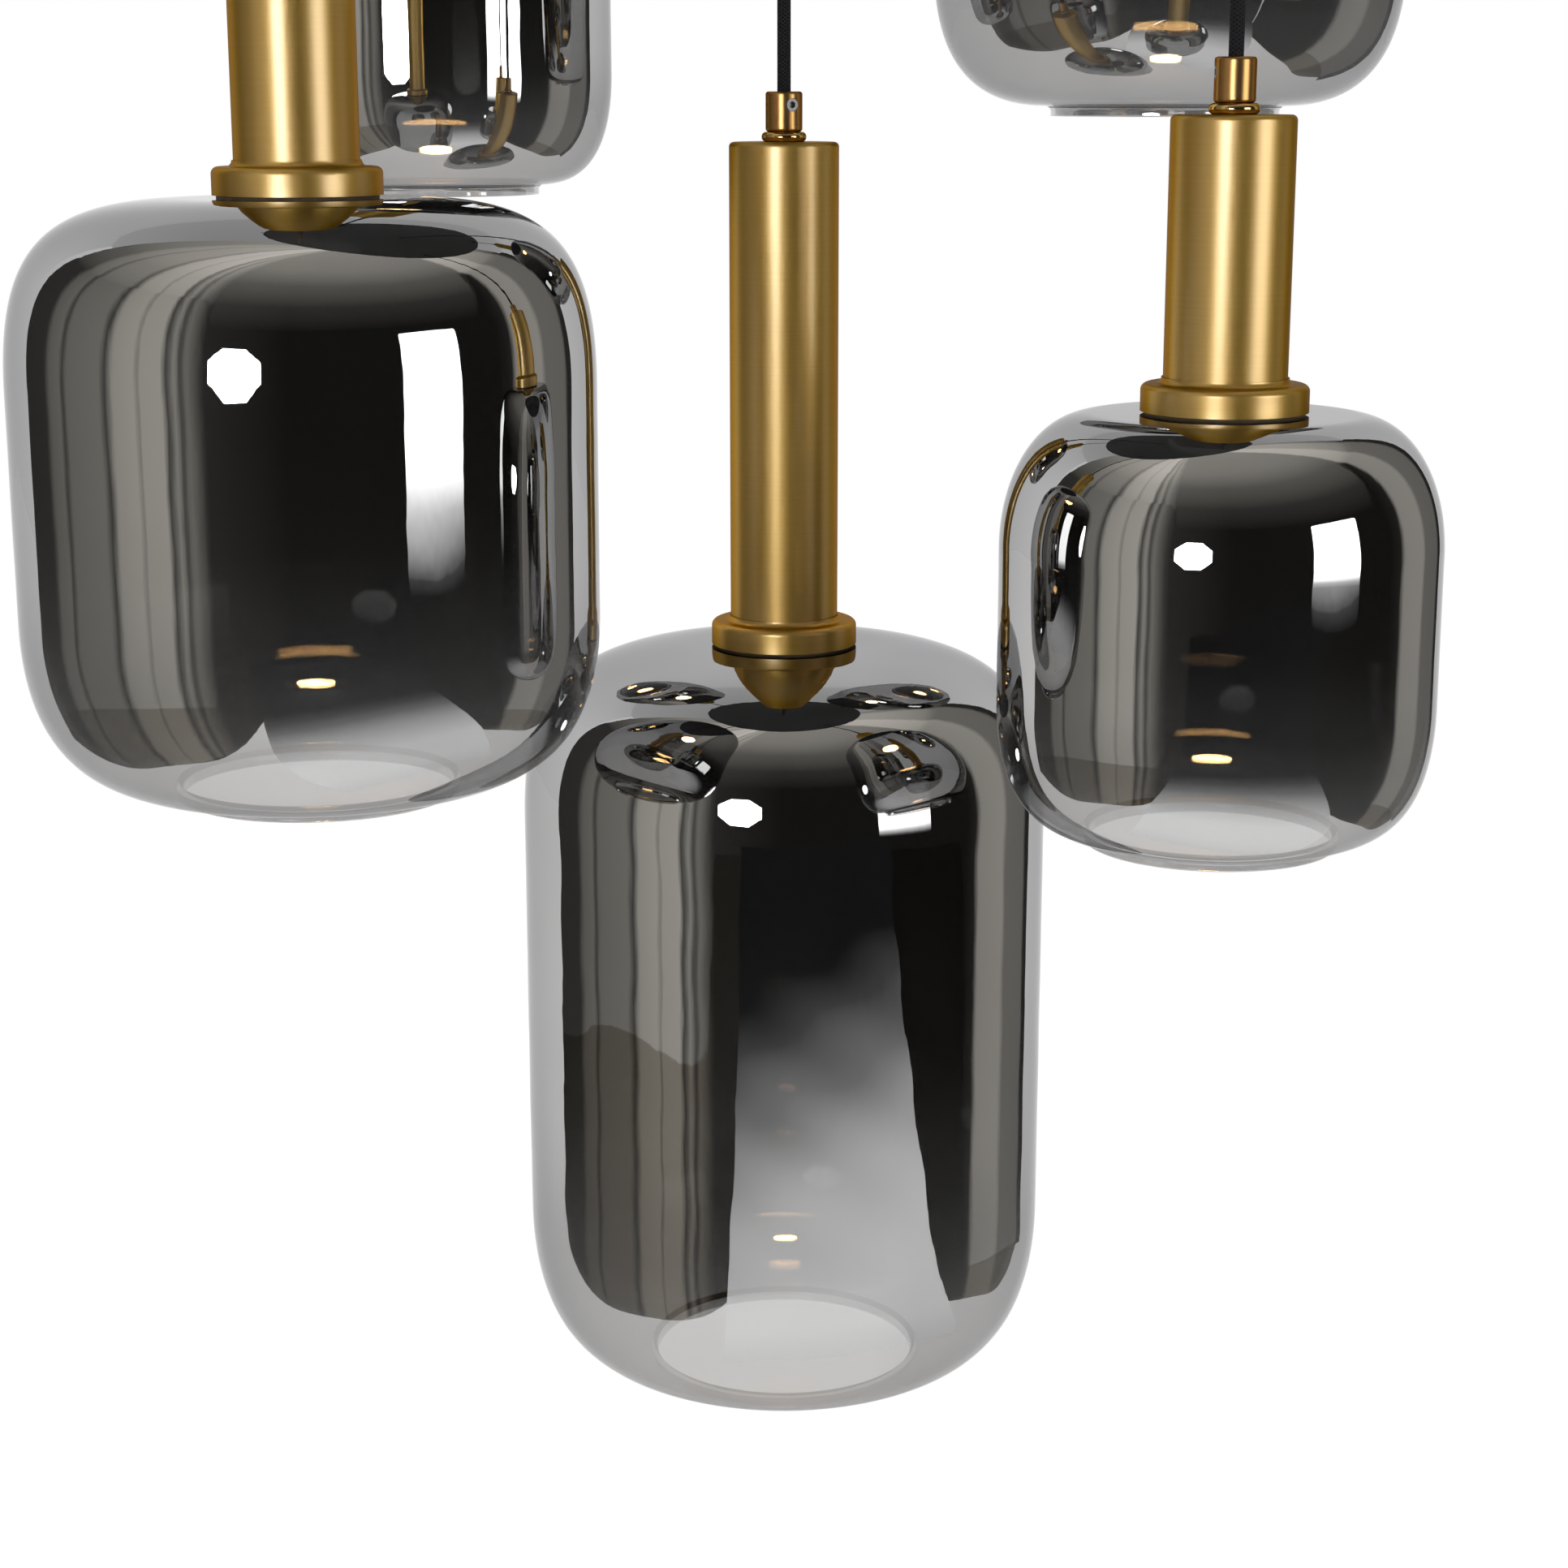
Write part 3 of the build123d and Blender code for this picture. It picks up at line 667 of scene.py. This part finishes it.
def card(name, rows, colour, **ramps):
    """A stage card that shows only in reflections: rows of points make its grid, and ramps its strength."""
    columns = len(rows[0])
    faces = []
    for i in range(len(rows) - 1):
        for j in range(columns - 1):
            a = i * columns + j
            faces.append((a, a + 1, a + columns + 1, a + columns))
    points = [point for row in rows for point in row]
    mesh = new_mesh(name, points, faces, glow_material(name, colour, ramps))
    layer = mesh.uv_layers.new(name="card")
    for loop in mesh.loops:
        i, j = divmod(loop.vertex_index, columns)
        layer.data[loop.index].uv = (j / (columns - 1), i / (len(rows) - 1))
    stage_card = new_object(name, mesh)
    stage_card.visible_camera = False
    stage_card.visible_diffuse = False
    stage_card.visible_shadow = False
    stage_card.visible_transmission = False


def spread(first, last, count):
    """Values from first to last in equal steps."""
    return [first + (last - first) * i / count for i in range(count + 1)]


def at_azimuth(azimuth, line):
    """Value on a line of (azimuth, value) points."""
    for (first, low), (last, high) in zip(line, line[1:]):
        if azimuth <= last:
            return low + (high - low) * (azimuth - first) / (last - first)
    return line[-1][1]


def from_centre(azimuth, distance, z):
    """Point round the centre drop."""
    angle = math.radians(azimuth)
    return Vector((distance * math.sin(angle), -distance * math.cos(angle), z))


def stops_between(turns):
    """The room's strengths between the first and the last of some azimuths, by share of the way."""
    first, last = turns[0], turns[-1]
    return [((a - first) / (last - first), s) for a, s in ROOM_STRENGTHS if first <= a <= last]


def tent(turns, line):
    """Rows of points round the centre drop that follow a line from the floor or the horizon to overhead."""
    rows = []
    for distance, z, shift in line:
        reach = [min(distance, at_azimuth(a, ROOM_WALLS)) for a in turns]
        rows.append([from_centre(a, r, z) - Vector((0, shift, 0)) for a, r in zip(turns, reach)])
    return rows


def make_room_floor(name, turns, middle, nearest, left, right):
    """Bare floor from a curled edge to the room's wall."""
    side = [a for a in turns if abs(a - middle) <= ROOM_FLOOR_SPAN]
    near, far = [], []
    for a in side:
        half, power = left if a < middle else right
        wall = at_azimuth(a, ROOM_WALLS)
        edge = nearest + FLOOR_CURL * (abs(a - middle) / half)**power
        near.append(from_centre(a, min(edge, wall), FLOOR_Z + ROOM_FLOOR_LIFT))
        far.append(from_centre(a, wall, FLOOR_Z + ROOM_FLOOR_LIFT))
    card(name, [near, far], BROWN, X=[(share, ROOM_FLOOR_SHARE * s) for share, s in stops_between(side)])


def make_runway():
    """White paper that runs from under the light towards the camera."""
    rows = []
    for r, first, last in RUNWAY:
        row = zip(spread(0, 1, RUNWAY_COLUMNS), spread(first, last, RUNWAY_COLUMNS))
        rows.append([from_centre(a, r * (RUNWAY_NEAR + RUNWAY_SKEW * share), RUNWAY_Z) for share, a in row])
    card("room_runway", rows, WHITE, Y=RUNWAY_STRENGTHS)


def make_softbox(name, azimuth, distance, bottom, top, width, cut, stops):
    """Bright card that faces the centre drop, with its corners cut off."""
    middle = from_centre(azimuth, distance, (bottom + top) / 2)
    side = Vector((math.cos(math.radians(azimuth)), math.sin(math.radians(azimuth)), 0)) * width / 2
    up = Vector((0, 0, (top - bottom) / 2))
    rows = []
    for share in (-1.0, 2 * cut - 1, 1 - 2 * cut, 1.0):
        half = side * (1.0 if abs(share) < 1 else 1 - 2 * cut)
        rows.append([middle + up * share - half, middle + up * share + half])
    card(name, rows, WHITE, Y=stops)


def make_studio():
    """Room behind the camera with two softboxes, and white paper behind, below and above the light."""
    turns = spread(ROOM_LEFT, ROOM_RIGHT, ROOM_COLUMNS)
    card("room_wall", tent(turns, ROOM_LINE), WARM, X=stops_between(turns), Y=ROOM_OVERHEAD)
    behind = spread(ROOM_RIGHT, 360 + ROOM_LEFT, PAPER_COLUMNS)
    card("paper_behind", tent(behind, PAPER_LINE), WHITE, Y=PAPER_STRENGTHS)
    for name, edge in ROOM_FLOORS.items():
        make_room_floor(name, turns, *edge)
    make_runway()
    for name, setting in SOFTBOXES.items():
        make_softbox(name, *setting)


def make_lamp(name, azimuth, distance, z, size, energy):
    """Soft lamp that shades the plain surfaces: the softbox cards stand for it in reflections."""
    data = bpy.data.lights.new(name, "AREA")
    data.size = size
    data.energy = energy
    lamp = new_object(name, data)
    lamp.location = from_centre(azimuth, distance, z)
    lamp.rotation_euler = (LAMP_AIM - lamp.location).to_track_quat("-Z", "Y").to_euler()
    lamp.visible_glossy = False


def make_floor():
    """Pale floor that keeps the light's shadow and shows white to the camera and in the glass."""
    material = bpy.data.materials.new("pale_floor")
    material.use_nodes = True
    tree = material.node_tree
    surface = tree.nodes["Principled BSDF"]
    surface.inputs["Base Color"].default_value = (0.86, 0.85, 0.84, 1)
    surface.inputs["Roughness"].default_value = 0.8
    surface.inputs["Emission Color"].default_value = (1.0, 0.985, 0.97, 1)
    strength = tree.nodes.new("ShaderNodeMath")
    strength.operation = "MULTIPLY"
    strength.inputs[1].default_value = FLOOR_GLOW
    tree.links.new(light_paths(tree), strength.inputs[0])
    tree.links.new(strength.outputs["Value"], surface.inputs["Emission Strength"])
    corners = [(x * FLOOR_HALF, y * FLOOR_HALF, FLOOR_Z) for x, y in ((-1, -1), (1, -1), (1, 1), (-1, 1))]
    floor = new_object("floor", new_mesh("floor", corners, [(0, 1, 2, 3)], material))


make_camera()
for index, drop in enumerate(DROPS):
    make_cord(drop)
    make_shade(index, drop)
    make_lens(drop)
    for prefix, material in DROP_MATERIALS.items():
        dress(f"{prefix}_{drop}", material)
for node, material in CANOPY_MATERIALS.items():
    dress(node, material)
make_world()
make_studio()
for name, setting in LAMPS.items():
    make_lamp(name, *setting)
make_floor()
scene.view_settings.view_transform = "Standard"
